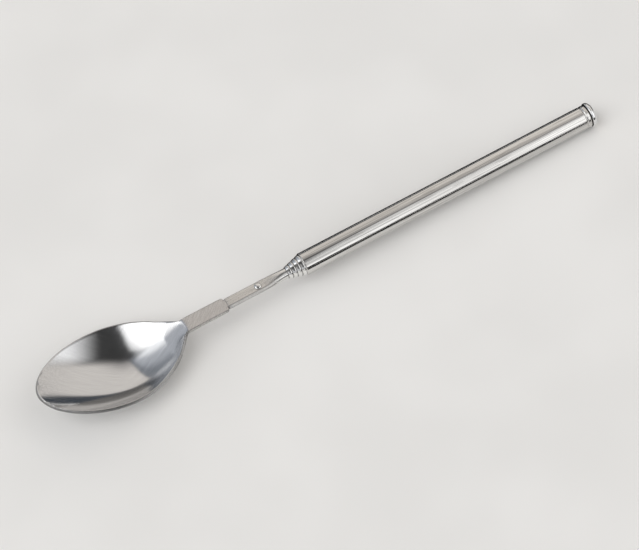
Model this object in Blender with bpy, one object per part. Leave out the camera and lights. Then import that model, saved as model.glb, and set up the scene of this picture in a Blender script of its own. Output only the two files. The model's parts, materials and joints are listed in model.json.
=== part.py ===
"""Telescopic cocktail spoon: a pressed spoon head riveted to a rod of six nested tubes.

The rod lies along X in its own frame. Zero is the mouth of the handle tube, the bowl
is on the minus side and the end cap on the plus side. The whole spoon is then tipped
by a small angle, so that the belly of the bowl and the end cap both touch Z = 0.
"""

import math

import bmesh
import bpy
from mathutils import Matrix, Vector

MM = 0.001

# Rod: nested tubes, counted from the handle outwards. Stage 5 carries the spoon head.
HANDLE_DIAMETER = 8.0 * MM
TUBE_WALL = 0.27 * MM
NEST_GAP = 0.17 * MM
STAGE_COUNT = 5
STAGE_TRAVEL = 85.0 * MM
RING_PITCH = 1.52 * MM
TIP_REACH = 22.4 * MM
ROD_SIDES = 32

# Mouth of each tube, rolled in over the next smaller one.
MOUTH_GAP = 0.05 * MM
MOUTH_EDGE = 0.14 * MM
MOUTH_LAND = 0.5 * MM
MOUTH_RAMP = 0.4 * MM
HANDLE_MOUTH_ROUND = 0.3 * MM

# Bead behind the mouth of each sliding tube. It keeps the tube from sinking into the next.
BEAD_HEIGHT = 0.12 * MM
BEAD_CREST = 0.6 * MM
BEAD_END = 1.2 * MM

# Rear end of each sliding tube: stop bead, seat for the two shims, flared lip.
STOP_HEIGHT = 0.1 * MM
STOP_BEAD = 0.5 * MM
REAR_LIP = 0.5 * MM
SHIM_LENGTH = 4.6 * MM
SHIM_END_GAP = 0.05 * MM
SHIM_RUN_GAP = 0.035 * MM
STOP_GAP = 0.1 * MM
SHIM_STEPS = 15

# Rear end of the handle tube, and the cap pressed into it.
REAR_ROOM = 12.3 * MM
SPIGOT_LENGTH = 7.0 * MM
SPIGOT_GAP = 0.04 * MM
SPIGOT_CHAMFER = 0.4 * MM
CRIMP_FROM_END = 1.5 * MM
CRIMP_WIDTH = 0.9 * MM
CRIMP_DEPTH = 0.32 * MM
CRIMP_STEPS = 6
HANDLE_LIP_ROUND = 0.25 * MM
CAP_GAP = 0.3 * MM
CAP_DIAMETER = 8.6 * MM
CAP_EDGE_ROUND = 0.35 * MM
CAP_RIM = 1.1 * MM
CAP_DOME = 1.6 * MM
DOME_STEPS = 6

# Flattened front of the tip tube, pressed over the tang of the spoon head.
FLAT_WIDTH = 4.7 * MM
FLAT_LENGTH = 13.1 * MM
TAPER_LENGTH = 8.4 * MM
TAPER_STEPS = 7
TANG_SHEET = 1.1 * MM
TANG_GAP = 0.13 * MM
TANG_PAST_FLAT = 1.0 * MM
SHOULDER_GAP = 0.3 * MM

# Rivet through both flattened walls and the tang.
RIVET_SETBACK = 1.3 * MM
RIVET_SHANK = 1.2 * MM
RIVET_HEAD = 1.9 * MM
RIVET_HEAD_HEIGHT = 0.65 * MM
RIVET_TAIL_HEIGHT = 0.45 * MM
RIVET_GAP = 0.05 * MM
RIVET_SIDES = 16
HOLE_OVERRUN = 1.0 * MM

# Spoon head: one stamping with the bowl, the flat neck plate and the thinner tang.
SHEET = 1.2 * MM
SHEET_EDGE_ROUND = 0.25 * MM
BOWL_LENGTH = 54.0 * MM
BOWL_WIDTH = 32.8 * MM
BOWL_DEPTH = 7.3 * MM
WIDEST_FROM_TIP = 27.0 * MM
DEEPEST_FROM_TIP = 28.0 * MM
CREASE_SETBACK = 0.8 * MM
RIM_DIP = 2.5 * MM
RIM_TIP_RISE = 3.0 * MM
RIM_DIP_FROM_TIP = 35.5 * MM
RIM_NECK_EASE = 8.0 * MM
PLATE_LENGTH = 15.0 * MM
PLATE_WIDTH_AT_BOWL = 5.8 * MM
PLATE_WIDTH_AT_SHOULDER = 5.7 * MM
SHOULDER_ROUND = 1.0 * MM

# Powers and slopes that shape the bowl.
TIP_POWER = 0.55
NECK_POWER = 0.79
FILLET_POWER = 2.2
RIM_TIP_POWER = 1.45
SIDE_POWER = 2.2
TIP_SLOPE = 1.5
NECK_SLOPE = 1.25
TIP_ROW_SHARE = 0.35
LEAD_SHARE = 0.55
BOWL_STEPS = 24
COLUMN_STEPS = 4
PLATE_STEPS = 3

WELD_DISTANCE = 0.001 * MM
SMOOTH_ANGLE = math.radians(40.0)
EDGE_ANGLE = math.radians(60.0)
LEVELLING_TRIES = 6

# Sizes that follow from the ones above.
TUBE_STEP = TUBE_WALL + NEST_GAP
REAR_PACK = REAR_LIP + SHIM_LENGTH + 2 * SHIM_END_GAP + STOP_BEAD
NESTED_LENGTH = STAGE_TRAVEL + REAR_PACK + MOUTH_LAND + MOUTH_RAMP + STOP_GAP
HANDLE_LENGTH = NESTED_LENGTH + REAR_ROOM + SPIGOT_LENGTH
HANDLE_RADIUS = HANDLE_DIAMETER / 2
TIP_RADIUS = HANDLE_RADIUS - STAGE_COUNT * TUBE_STEP
FLAT_BORE_HEIGHT = TANG_SHEET + 2 * TANG_GAP
FLAT_HEIGHT = FLAT_BORE_HEIGHT + 2 * TUBE_WALL
TANG_CORNER_REACH = math.sqrt(FLAT_BORE_HEIGHT**2 - TANG_SHEET**2) / 2
TANG_WIDTH = FLAT_WIDTH - FLAT_HEIGHT + 2 * (TANG_CORNER_REACH - TANG_GAP)
TANG_LENGTH = SHOULDER_GAP + FLAT_LENGTH + TANG_PAST_FLAT
RIVET_FROM_MOUTH = FLAT_LENGTH - RIVET_SETBACK
NECK_REACH = BOWL_LENGTH - WIDEST_FROM_TIP - CREASE_SETBACK


def clear_scene():
    """Remove whatever the file opened with."""
    for item in list(bpy.data.objects):
        bpy.data.objects.remove(item, do_unlink=True)


def make_material(name, colour, roughness, metallic):
    """A plain metal finish."""
    material = bpy.data.materials.new(name)
    material.use_nodes = True
    shader = material.node_tree.nodes["Principled BSDF"]
    shader.inputs["Base Color"].default_value = (*colour, 1.0)
    shader.inputs["Roughness"].default_value = roughness
    shader.inputs["Metallic"].default_value = metallic
    return material


def make_empty(name, parent, location):
    """A joint frame: sliding it along X draws its stage out, turning it about X swivels it."""
    frame = bpy.data.objects.new(name, None)
    bpy.context.scene.collection.objects.link(frame)
    frame.parent = parent
    frame.location = location
    return frame


def add_object(name, shape, material, parent, location=(0, 0, 0)):
    """Turn a bmesh into a named, smooth-shaded object under its parent."""
    bmesh.ops.remove_doubles(shape, verts=shape.verts, dist=WELD_DISTANCE)
    bmesh.ops.recalc_face_normals(shape, faces=shape.faces)
    mesh = bpy.data.meshes.new(name)
    shape.to_mesh(mesh)
    shape.free()
    mesh.materials.append(material)
    mesh.shade_smooth()
    mesh.set_sharp_from_angle(angle=SMOOTH_ANGLE)
    item = bpy.data.objects.new(name, mesh)
    bpy.context.scene.collection.objects.link(item)
    item.parent = parent
    item.location = location
    return item


def turned(profile, sides):
    """Spin (x, radius) points about X. Profiles that end on the axis stay open there."""
    shape = bmesh.new()
    start = Matrix.Rotation(math.pi / sides, 3, "X")
    ring = [shape.verts.new(start @ Vector((x, radius, 0))) for x, radius in profile]
    pairs = list(zip(ring, ring[1:]))
    if profile[0][1] > 0:
        pairs.append((ring[-1], ring[0]))
    edges = [shape.edges.new(pair) for pair in pairs]
    bmesh.ops.spin(
        shape, geom=ring + edges, axis=(1, 0, 0), cent=(0, 0, 0), steps=sides, angle=2 * math.pi
    )
    return shape


def arc(centre, reach, start, end, steps):
    """Points on a quarter of an ellipse, from one angle to the other, both in degrees."""
    points = []
    for step in range(steps + 1):
        angle = math.radians(start + (end - start) * step / steps)
        points.append((centre[0] + reach[0] * math.cos(angle), centre[1] + reach[1] * math.sin(angle)))
    return points


def ease(share):
    """Smooth step from 0 to 1."""
    return share * share * (3 - 2 * share)


def tube_radius(stage):
    """Outside radius of the tube of a stage. Stage 0 is the handle tube."""
    return HANDLE_RADIUS - stage * TUBE_STEP


def mouth_radius(outside):
    """Radius of the rolled-in mouth of a tube, a running gap around the next tube."""
    return outside - TUBE_STEP + MOUTH_GAP


def inside_to_mouth(length, outside):
    """Bore of a tube from its rear end forward to the land of its mouth."""
    bore = outside - TUBE_WALL
    return [
        (length, bore),
        (MOUTH_LAND + MOUTH_RAMP, bore),
        (MOUTH_LAND, mouth_radius(outside)),
    ]


def rear_end(length, outside):
    """Outside of a sliding tube's rear: stop bead, seat for the shims and flared lip."""
    seat_end = length - REAR_LIP
    seat_start = seat_end - SHIM_LENGTH - 2 * SHIM_END_GAP
    bead_start = seat_start - STOP_BEAD
    raised = outside + STOP_HEIGHT
    return [
        (bead_start, outside),
        (bead_start + STOP_HEIGHT, raised),
        (seat_start, raised),
        (seat_start, outside),
        (seat_end, outside),
        (seat_end, raised),
        (length, raised),
    ]


def slide_tube_profile(outside):
    """A middle tube: rolled mouth, round bead that shows as a ring, plain length, rear end."""
    length = NESTED_LENGTH + RING_PITCH
    mouth = mouth_radius(outside)
    rim = mouth + MOUTH_EDGE
    crest = outside + BEAD_HEIGHT
    rise = arc((BEAD_CREST, rim), (BEAD_CREST, crest - rim), 180, 90, 4)
    fall = arc((BEAD_CREST, outside), (BEAD_END - BEAD_CREST, BEAD_HEIGHT), 90, 0, 3)
    return [(0, mouth)] + rise + fall[1:] + rear_end(length, outside) + inside_to_mouth(length, outside)


def crimp(end, radius):
    """Rolled groove that grips the cap's spigot, as a smooth dip in a radius."""
    centre = end - CRIMP_FROM_END
    points = []
    for step in range(CRIMP_STEPS + 1):
        share = 2 * step / CRIMP_STEPS - 1
        dip = CRIMP_DEPTH * (1 + math.cos(math.pi * share)) / 2
        points.append((centre + share * CRIMP_WIDTH / 2, radius - dip))
    return points


def handle_profile():
    """The handle tube: plain mouth with a small round, and the crimp near its rear end."""
    bore = HANDLE_RADIUS - TUBE_WALL
    mouth = mouth_radius(HANDLE_RADIUS)
    front = arc(
        (HANDLE_MOUTH_ROUND, HANDLE_RADIUS - HANDLE_MOUTH_ROUND),
        (HANDLE_MOUTH_ROUND, HANDLE_MOUTH_ROUND), 180, 90, 3,
    )
    lip_start = HANDLE_LENGTH - HANDLE_LIP_ROUND
    lip = [(lip_start, HANDLE_RADIUS), (HANDLE_LENGTH, HANDLE_RADIUS - HANDLE_LIP_ROUND / 2)]
    outside = front + crimp(HANDLE_LENGTH, HANDLE_RADIUS) + lip
    inside = [(HANDLE_LENGTH, bore)] + crimp(HANDLE_LENGTH, bore)[::-1]
    return [(0, mouth)] + outside + inside + inside_to_mouth(HANDLE_LENGTH, HANDLE_RADIUS)[1:]


def cap_profile():
    """The end cap, from the tip of its spigot to the top of its dome. Zero is the tube's end."""
    spigot = HANDLE_RADIUS - TUBE_WALL - SPIGOT_GAP
    head = CAP_DIAMETER / 2
    dome_start = CAP_GAP + CAP_RIM
    dome = arc((dome_start, 0), (CAP_DOME, head), 90, 0, DOME_STEPS)
    body = [
        (-SPIGOT_LENGTH, 0),
        (-SPIGOT_LENGTH, spigot - SPIGOT_CHAMFER),
        (SPIGOT_CHAMFER - SPIGOT_LENGTH, spigot),
    ]
    under_head = [
        (CAP_GAP, spigot),
        (CAP_GAP, head - CAP_EDGE_ROUND),
        (CAP_GAP + CAP_EDGE_ROUND, head),
    ]
    return body + crimp(0, spigot) + under_head + dome[:-1] + [(dome_start + CAP_DOME, 0)]


def shim_shape(stage):
    """Half-round friction shim that runs between a sliding tube and the bore around it."""
    shape = bmesh.new()
    inner = tube_radius(stage) + SHIM_RUN_GAP
    outer = tube_radius(stage) + NEST_GAP - SHIM_RUN_GAP
    step = 2 * math.pi / ROD_SIDES
    start = Matrix.Rotation((math.pi - SHIM_STEPS * step) / 2, 3, "X")
    corners = [(0, inner), (0, outer), (SHIM_LENGTH, outer), (SHIM_LENGTH, inner)]
    section = [shape.verts.new(start @ Vector((x, radius, 0))) for x, radius in corners]
    face = shape.faces.new(section)
    bmesh.ops.spin(
        shape, geom=section + list(face.edges) + [face], axis=(1, 0, 0), cent=(0, 0, 0),
        steps=SHIM_STEPS, angle=SHIM_STEPS * step,
    )
    return shape


def pressed_section(x, radius, flat_width, flat_height, flatness):
    """One closed loop of the tip tube, between round (0) and pressed flat (1)."""
    points = []
    for side in range(ROD_SIDES):
        angle = (side + 0.5) * 2 * math.pi / ROD_SIDES
        across = math.cos(angle)
        up = math.sin(angle)
        straight = math.copysign((flat_width - flat_height) / 2, across)
        flat = Vector((x, straight + across * flat_height / 2, up * flat_height / 2))
        points.append(Vector((x, across * radius, up * radius)).lerp(flat, flatness))
    return points


def tip_tube_shape():
    """The smallest tube, whose front is pressed flat over the tang. Zero is its front end."""
    length = NESTED_LENGTH + TIP_REACH
    taper = []
    for step in range(TAPER_STEPS + 1):
        share = step / TAPER_STEPS
        taper.append((FLAT_LENGTH + share * TAPER_LENGTH, 1 - ease(share)))
    outer = [(0, TIP_RADIUS, 1)]
    outer += [(x, TIP_RADIUS, flatness) for x, flatness in taper]
    outer += [(x, radius, 0) for x, radius in rear_end(length, TIP_RADIUS)]
    bore = TIP_RADIUS - TUBE_WALL
    inner = [(length, bore, 0)]
    inner += [(x, bore, flatness) for x, flatness in reversed(taper)]
    inner += [(0, bore, 1)]
    shape = bmesh.new()
    loops = []
    for x, radius, flatness in outer:
        points = pressed_section(x, radius, FLAT_WIDTH, FLAT_HEIGHT, flatness)
        loops.append([shape.verts.new(point) for point in points])
    for x, radius, flatness in inner:
        points = pressed_section(
            x, radius, FLAT_WIDTH - 2 * TUBE_WALL, FLAT_HEIGHT - 2 * TUBE_WALL, flatness
        )
        loops.append([shape.verts.new(point) for point in points])
    for near, far in zip(loops, loops[1:] + loops[:1]):
        for side in range(ROD_SIDES):
            after = (side + 1) % ROD_SIDES
            shape.faces.new((near[side], near[after], far[after], far[side]))
    return shape


def rivet_profile():
    """Domed head above the tube, shank through the stack, flatter tail below it."""
    face = FLAT_HEIGHT / 2 + RIVET_GAP
    shank = RIVET_SHANK / 2
    head = RIVET_HEAD / 2
    crown = arc((face, 0), (RIVET_HEAD_HEIGHT, head), 0, 90, 4)
    tail = arc((-face, 0), (RIVET_TAIL_HEIGHT, head), 90, 180, 4)
    top = [(face + RIVET_HEAD_HEIGHT, 0)] + crown[1:]
    bottom = tail[:-1] + [(-face - RIVET_TAIL_HEIGHT, 0)]
    return top + [(face, shank), (-face, shank)] + bottom


def half_width(from_tip):
    """Half the plan width of the bowl, this far from its tip."""
    widest = BOWL_WIDTH / 2
    if from_tip < WIDEST_FROM_TIP:
        share = (WIDEST_FROM_TIP - from_tip) / WIDEST_FROM_TIP
        return widest * (1 - share**2) ** TIP_POWER
    share = min(1.0, (from_tip - WIDEST_FROM_TIP) / NECK_REACH)
    bowl = widest * (1 - share**2) ** NECK_POWER
    plate = ease(share) * PLATE_WIDTH_AT_BOWL / 2
    return (bowl**FILLET_POWER + plate**FILLET_POWER) ** (1 / FILLET_POWER)


def rim_height(from_tip):
    """Height of the middle of the sheet along the rim, against the rod's axis."""
    if from_tip < RIM_DIP_FROM_TIP:
        share = (RIM_DIP_FROM_TIP - from_tip) / RIM_DIP_FROM_TIP
        return (RIM_DIP + RIM_TIP_RISE) * share**RIM_TIP_POWER - RIM_DIP
    share = min(1.0, (BOWL_LENGTH - from_tip) / RIM_NECK_EASE)
    return -RIM_DIP * ease(share)


def hollow_share(from_tip):
    """How deep the bowl is along its middle line, from 0 at tip and crease to 1 at its deepest."""
    if from_tip < DEEPEST_FROM_TIP:
        share = (DEEPEST_FROM_TIP - from_tip) / DEEPEST_FROM_TIP
        slope = TIP_SLOPE
    else:
        share = (from_tip - DEEPEST_FROM_TIP) / (BOWL_LENGTH - DEEPEST_FROM_TIP)
        slope = NECK_SLOPE
    return 1 - (3 - slope) * share**2 + (2 - slope) * share**3


def bowl_point(from_tip, across):
    """A point of the bowl's sheet, by its distance from the tip and from the middle line."""
    crossing = min(1.0, abs(across) / half_width(from_tip)) if from_tip > 0 else 0.0
    hollow = hollow_share(from_tip) * (1 - crossing**SIDE_POWER)
    height = rim_height(from_tip) - BOWL_DEPTH * hollow
    return Vector((from_tip - BOWL_LENGTH, across, height))


def tip_station(half):
    """Distance from the tip at which the outline reaches this half width."""
    share = math.sqrt(1 - (half / (BOWL_WIDTH / 2)) ** (1 / TIP_POWER))
    return WIDEST_FROM_TIP * (1 - share)


def sheet_columns():
    """Shares of the half width across the sheet, with a column on each edge of the tang."""
    tang = TANG_WIDTH / PLATE_WIDTH_AT_SHOULDER
    half = [tang * (2 * step + 1) / (2 * COLUMN_STEPS - 1) for step in range(COLUMN_STEPS)]
    half += [tang + (1 - tang) * step / COLUMN_STEPS for step in range(1, COLUMN_STEPS + 1)]
    return [-share for share in half[::-1]] + half


def bowl_row(step, columns):
    """Points across the bowl. The first row bends round the tip, and later ones straighten."""
    first_half = TIP_ROW_SHARE * BOWL_WIDTH / 2
    first = tip_station(first_half)
    share = step / BOWL_STEPS
    advance = LEAD_SHARE * share + (1 - LEAD_SHARE) * ease(share)
    station = first + (BOWL_LENGTH - first) * advance
    fade = max(0.0, 1 - (station - first) / (WIDEST_FROM_TIP - first)) ** 2
    points = []
    for column in columns:
        bend = first - tip_station(abs(column) * first_half)
        points.append(bowl_point(station - bend * fade, column * half_width(station)))
    return points


def plate_row(step, columns):
    """Points across the neck plate. The last row follows the rounded corners of the shoulder."""
    share = step / PLATE_STEPS
    edge = (PLATE_WIDTH_AT_BOWL * (1 - share) + PLATE_WIDTH_AT_SHOULDER * share) / 2
    points = []
    for column in columns:
        past_corner = max(0.0, abs(column) * edge - (edge - SHOULDER_ROUND))
        setback = SHOULDER_ROUND - math.sqrt(max(0.0, SHOULDER_ROUND**2 - past_corner**2))
        reach = share * PLATE_LENGTH - (setback if step == PLATE_STEPS else 0.0)
        points.append(Vector((reach, column * edge, 0)))
    return points


def spoon_sheet():
    """Middle surface of the stamping. Zero is the crease between the bowl and the plate."""
    shape = bmesh.new()
    columns = sheet_columns()
    places = [bowl_row(step, columns) for step in range(BOWL_STEPS + 1)]
    places += [plate_row(step, columns) for step in range(1, PLATE_STEPS + 1)]
    rows = [[shape.verts.new(place) for place in row] for row in places]
    tang = [rows[-1][COLUMN_STEPS:-COLUMN_STEPS]]
    for reach in (PLATE_LENGTH + SHOULDER_GAP, PLATE_LENGTH + TANG_LENGTH):
        tang.append([shape.verts.new((reach, vert.co.y, 0)) for vert in tang[0]])
    for near, far in list(zip(rows, rows[1:])) + list(zip(tang, tang[1:])):
        for left in range(len(near) - 1):
            shape.faces.new((near[left], near[left + 1], far[left + 1], far[left]))
    return shape


def thicken_sheet(head):
    """Give the stamping its thickness, with a thinner tang, and round its sheared edges."""
    share = head.vertex_groups.new(name="sheet_share")
    for vert in head.data.vertices:
        on_tang = vert.co.x > PLATE_LENGTH + SHOULDER_GAP / 2
        share.add([vert.index], TANG_SHEET / SHEET if on_tang else 1.0, "REPLACE")
    thicken = head.modifiers.new("sheet", "SOLIDIFY")
    thicken.thickness = SHEET
    thicken.vertex_group = share.name
    thicken.offset = 0
    thicken.use_even_offset = False
    soften = head.modifiers.new("edge_round", "BEVEL")
    soften.width = SHEET_EDGE_ROUND
    soften.segments = 2
    soften.limit_method = "ANGLE"
    soften.angle_limit = EDGE_ANGLE
    soften.use_clamp_overlap = False


def add_cutter(name, shape, material, parent, location):
    """A shape that only cuts: drawn as wire and left out of the part."""
    cutter = add_object(name, shape, material, parent, location)
    cutter.display_type = "WIRE"
    cutter.hide_render = True
    cutter.rotation_euler = (0, -math.pi / 2, 0)
    return cutter


def cut_by(item, cutter):
    """Subtract the cutter from an object."""
    cut = item.modifiers.new("rivet_hole", "BOOLEAN")
    cut.operation = "DIFFERENCE"
    cut.object = cutter


def add_stage(stage, parent, steel, brass):
    """A middle tube with its pair of shims, hung on the frame of its joint."""
    frame = make_empty(f"stage_{stage}", parent, (-RING_PITCH, 0, 0))
    profile = slide_tube_profile(tube_radius(stage))
    add_object(f"slide_tube_{stage}", turned(profile, ROD_SIDES), steel, frame)
    add_shims(stage, frame, RING_PITCH + NESTED_LENGTH, brass)
    return frame


def add_shims(stage, frame, tube_length, brass):
    """Two half-round shims on the seat in front of the tube's rear lip."""
    place = (tube_length - REAR_LIP - SHIM_END_GAP - SHIM_LENGTH, 0, 0)
    add_object(f"shim_{stage}_upper", shim_shape(stage), brass, frame, place)
    lower = add_object(f"shim_{stage}_lower", shim_shape(stage), brass, frame, place)
    lower.rotation_euler = (math.pi, 0, 0)


def add_tip(parent, steel, plate_steel, brass):
    """The tip tube, the spoon head in its flattened end, and the rivet through both."""
    frame = make_empty(f"stage_{STAGE_COUNT}", parent, (-TIP_REACH, 0, 0))
    tube = add_object("tip_tube", tip_tube_shape(), steel, frame)
    add_shims(STAGE_COUNT, frame, TIP_REACH + NESTED_LENGTH, brass)
    head_place = (-SHOULDER_GAP - PLATE_LENGTH, 0, 0)
    head = add_object("spoon_head", spoon_sheet(), plate_steel, frame, head_place)
    thicken_sheet(head)
    place = (RIVET_FROM_MOUTH, 0, 0)
    rivet = add_object("tip_rivet", turned(rivet_profile(), RIVET_SIDES), steel, frame, place)
    rivet.rotation_euler = (0, -math.pi / 2, 0)
    reach = FLAT_HEIGHT / 2 + HOLE_OVERRUN
    hole = RIVET_SHANK / 2 + RIVET_GAP
    drill = turned([(-reach, 0), (-reach, hole), (reach, hole), (reach, 0)], RIVET_SIDES)
    cutter = add_cutter("rivet_drill", drill, steel, frame, place)
    cut_by(tube, cutter)
    cut_by(head, cutter)
    return head


def lowest_edge(item, tilt):
    """Lowest height of an object's finished mesh once the spoon is turned about Y."""
    graph = bpy.context.evaluated_depsgraph_get()
    solid = item.evaluated_get(graph)
    turn = Matrix.Rotation(tilt, 4, "Y") @ solid.matrix_world
    return min((turn @ vert.co).z for vert in solid.data.vertices)


def lay_down(root, head, cap):
    """Tip the spoon so that bowl and cap touch Z = 0, with X and Y centred on the part."""
    bpy.context.view_layer.update()
    span = HANDLE_LENGTH + RING_PITCH * (STAGE_COUNT - 1) + TIP_REACH + BOWL_LENGTH
    tilt = 0.0
    for attempt in range(LEVELLING_TRIES):
        tilt += (lowest_edge(cap, tilt) - lowest_edge(head, tilt)) / span
    height = -min(lowest_edge(cap, tilt), lowest_edge(head, tilt))
    root.rotation_euler = (0, tilt, 0)
    root.location = (0, 0, height)
    bpy.context.view_layer.update()
    graph = bpy.context.evaluated_depsgraph_get()
    ends = []
    for item in (head, cap):
        solid = item.evaluated_get(graph)
        ends += [(solid.matrix_world @ vert.co).x for vert in solid.data.vertices]
    root.location.x = -(min(ends) + max(ends)) / 2
    bpy.context.view_layer.update()
    print(f"tilt {math.degrees(tilt):.4f} degrees, rod zero at {tuple(root.location)}")


def build_spoon():
    """Every sub-part, from the handle outwards to the bowl."""
    clear_scene()
    tube_steel = make_material("brushed_tube_steel", (0.62, 0.61, 0.59), 0.3, 1.0)
    ring_steel = make_material("bright_ring_steel", (0.75, 0.75, 0.74), 0.15, 1.0)
    bowl_steel = make_material("satin_bowl_steel", (0.66, 0.66, 0.66), 0.28, 1.0)
    chrome = make_material("chrome", (0.8, 0.8, 0.8), 0.08, 1.0)
    brass = make_material("shim_brass", (0.72, 0.55, 0.28), 0.35, 1.0)
    root = make_empty("spoon_frame", None, (0, 0, 0))
    add_object("handle_tube", turned(handle_profile(), ROD_SIDES), tube_steel, root)
    cap_place = (HANDLE_LENGTH, 0, 0)
    cap = add_object("end_cap", turned(cap_profile(), ROD_SIDES), chrome, root, cap_place)
    frame = root
    for stage in range(1, STAGE_COUNT):
        frame = add_stage(stage, frame, ring_steel, brass)
    head = add_tip(frame, tube_steel, bowl_steel, brass)
    lay_down(root, head, cap)


build_spoon()
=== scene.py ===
# %% [markdown]
# # Telescopic cocktail spoon
# A small pressed spoon head is riveted to a rod of six nested steel tubes. Closed, it is 21 cm
# long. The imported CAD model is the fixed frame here: every piece below sits where the CAD says,
# rides on its CAD body and stands for its CAD node, with a finer shape and a real finish.

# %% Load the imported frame
import json
import math

import bmesh
import bpy
from mathutils import Matrix, Vector
from mathutils.kdtree import KDTree


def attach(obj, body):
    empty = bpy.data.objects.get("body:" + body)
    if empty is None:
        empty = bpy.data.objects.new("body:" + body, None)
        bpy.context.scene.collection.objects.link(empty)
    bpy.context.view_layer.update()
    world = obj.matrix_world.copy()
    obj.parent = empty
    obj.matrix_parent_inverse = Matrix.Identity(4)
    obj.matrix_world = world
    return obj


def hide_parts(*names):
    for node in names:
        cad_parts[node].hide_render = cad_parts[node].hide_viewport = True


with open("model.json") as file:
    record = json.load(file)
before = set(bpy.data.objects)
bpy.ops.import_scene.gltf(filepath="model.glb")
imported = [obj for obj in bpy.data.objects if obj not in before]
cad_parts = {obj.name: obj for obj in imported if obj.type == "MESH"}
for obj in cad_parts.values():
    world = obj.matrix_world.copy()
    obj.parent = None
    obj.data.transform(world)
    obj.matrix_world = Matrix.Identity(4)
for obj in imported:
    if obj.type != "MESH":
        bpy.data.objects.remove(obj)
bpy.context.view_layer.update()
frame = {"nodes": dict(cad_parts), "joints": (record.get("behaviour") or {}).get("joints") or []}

# %% [markdown]
# ## The rod's own frame
# The rod is tipped by 1.8 degrees, so that the bowl and the cap both touch the floor. Shapes and
# finishes are easier to think of along the rod: X runs along it, zero is the mouth of the handle
# tube, the bowl is on the minus side. The joints give that frame exactly, so it is read from them.

# %% Rod frame
MM = 0.001

joints = {joint["name"]: joint for joint in frame["joints"]}
along = -Vector(joints["slide_1"]["axis"]).normalized()
across = Vector((0, 1, 0))
upright = along.cross(across)
rod_zero = Vector(joints["swivel_1"]["pos_m"])
TURN = Matrix((along, across, upright)).transposed()
ROD = Matrix.Translation(rod_zero) @ TURN.to_4x4()
TILT = math.atan2(-along.z, along.x)
print(f"the rod is tipped by {math.degrees(TILT):.3f} degrees, its zero is at {tuple(rod_zero)}")

# %% [markdown]
# ## The camera
# The photograph looks down on the spoon at about 50 degrees, from so far away that its lens is a
# long one. The camera's place was worked out in the rod's frame and fitted to the rod's ends. It
# is turned into the CAD frame here.

# %% Camera
CAMERA_PLACE = Vector((-205.47, -561.48, 790.97)) * MM
CAMERA_RIGHT = Vector((0.8656, -0.4876, -0.1140))
CAMERA_UP = Vector((0.4542, 0.6688, 0.5885))
SENSOR_WIDTH = 36.0
PHOTO_WIDTH = 639
FOCAL_PIXELS = 3000
NEAREST = 10 * MM


def put(name, data):
    """A new object in the scene, at the origin."""
    thing = bpy.data.objects.new(name, data)
    bpy.context.scene.collection.objects.link(thing)
    return thing


lens = bpy.data.cameras.new("photo_camera")
lens.sensor_width = SENSOR_WIDTH
lens.sensor_fit = "HORIZONTAL"
lens.lens = SENSOR_WIDTH * FOCAL_PIXELS / PHOTO_WIDTH
lens.clip_start = NEAREST
camera = put("photo_camera", lens)
right = (TURN @ CAMERA_RIGHT).normalized()
back = right.cross(TURN @ CAMERA_UP).normalized()
turn = Matrix((right, back.cross(right), back)).transposed()
camera.matrix_world = Matrix.Translation(ROD @ CAMERA_PLACE) @ turn.to_4x4()
bpy.context.scene.camera = camera
print(f"lens {lens.lens:.1f} mm, camera at {tuple(round(v, 3) for v in camera.location)}")

# %% [markdown]
# ## Nodes from Python expressions
# Shader trees and geometry trees are both made of nodes and links. One small class wraps an
# output, so that `1 - mask` or `mask * 0.5` adds the Math node it needs. A second class adds any
# other node. Both serve every finish, the light and every shape below.


# %% Wire
def operator_pair(operation):
    """A Python operator and its reflected form. Each adds one Math node."""

    def plain(self, other):
        return self.bench.maths(operation, self, other)

    def reflected(self, other):
        return self.bench.maths(operation, other, self)

    return plain, reflected


class Wire:
    """An output of a node, usable in Python expressions."""

    __add__, __radd__ = operator_pair("ADD")
    __sub__, __rsub__ = operator_pair("SUBTRACT")
    __mul__, __rmul__ = operator_pair("MULTIPLY")
    __truediv__, __rtruediv__ = operator_pair("DIVIDE")
    __pow__, __rpow__ = operator_pair("POWER")

    def __init__(self, bench, socket):
        self.bench = bench
        self.socket = socket

    def __abs__(self):
        return self.bench.maths("ABSOLUTE", self)


def choose(share, low, high):
    """low where share is 0, high where it is 1, and a mix of both between."""
    return low * (1 - share) + high * share


# %% Bench
NOISE_SPAN = (0.32, 0.68)


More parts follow.
